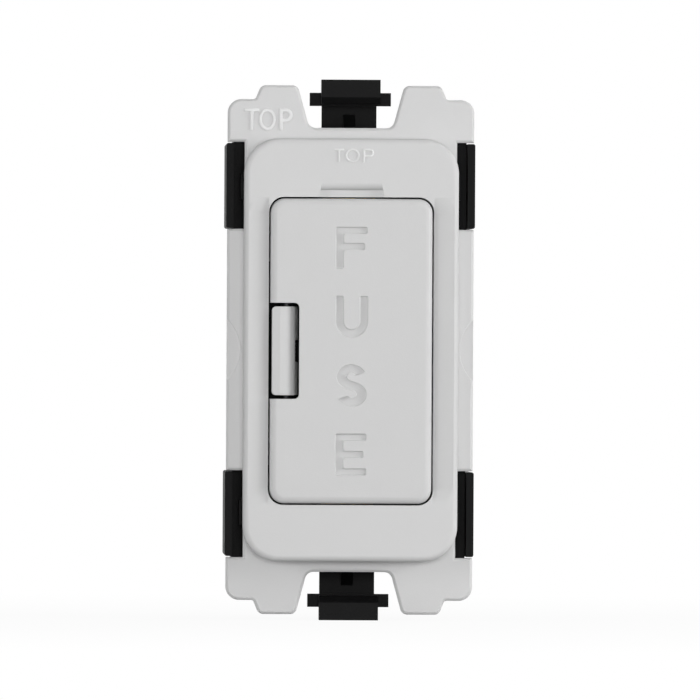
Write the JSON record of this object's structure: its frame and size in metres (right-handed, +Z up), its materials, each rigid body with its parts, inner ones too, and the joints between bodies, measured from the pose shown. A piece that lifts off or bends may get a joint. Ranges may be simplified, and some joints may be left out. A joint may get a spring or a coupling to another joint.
{
  "type": "fused spur unit",
  "caption": "Grid-system fused spur module: white yoke plate and surround, pull-out carrier for a cartridge fuse with a release catch, black latching body with pillar terminals.",
  "frame": {"origin": "centre of the yoke plate's rear face, which rests on the mounting frame", "axes": "+Z up along the plate's length, +X to the right seen from the front, +Y to the rear; the front faces -Y"},
  "size_m": [0.0258, 0.0313, 0.056],
  "materials": {
    "white_moulding": "fine matte white moulding",
    "white_carrier": "fine matte white moulding",
    "black_moulding": "satin black moulding",
    "ceramic": "opaque ceramic tube",
    "fuse_wire": "bright wire",
    "plated_cap": "nickel plated",
    "bronze": "stamped spring bronze",
    "brass": "turned brass",
    "steel": "zinc plated steel"
  },
  "bodies": {
    "module": {"yoke_plate": "white_moulding", "bezel": "white_moulding", "rear_housing": "black_moulding", "rear_cover": "black_moulding", "contact_clip_upper": "bronze", "contact_clip_lower": "bronze", "clip_rivet_upper": "brass", "clip_rivet_lower": "brass", "terminal_block_supply": "brass", "terminal_block_load": "brass", "cover_screw_left": "steel", "cover_screw_right": "steel"},
    "carrier": {"fuse_carrier": "white_carrier", "catch_pin": "steel", "catch_spring": "steel", "fuse_barrel": "ceramic", "fuse_cap_upper": "plated_cap", "fuse_cap_lower": "plated_cap", "fuse_element": "fuse_wire"},
    "catch": {"release_catch": "white_carrier"},
    "supply_screw": {"terminal_screw_supply": "brass"},
    "load_screw": {"terminal_screw_load": "brass"}
  },
  "joints": [
    {"name": "carrier_slide", "type": "slide", "parent": "module", "child": "carrier", "axis": [0, -1, 0], "range_m": [0, 0.01]},
    {"name": "catch_hinge", "type": "hinge", "parent": "carrier", "child": "catch", "pos_m": [-0.00658, -0.0006, -0.00012], "axis": [0, 0, 1], "range_deg": [0, 4], "stiffness_Nm_per_rad": 0.02, "springref_deg": -5.73, "deforming": ["catch_spring"]},
    {"name": "supply_screw_travel", "type": "slide", "parent": "module", "child": "supply_screw", "axis": [0, -1, 0], "range_m": [0, 0.0026]},
    {"name": "load_screw_travel", "type": "slide", "parent": "module", "child": "load_screw", "axis": [0, -1, 0], "range_m": [0, 0.0026]}
  ]
}
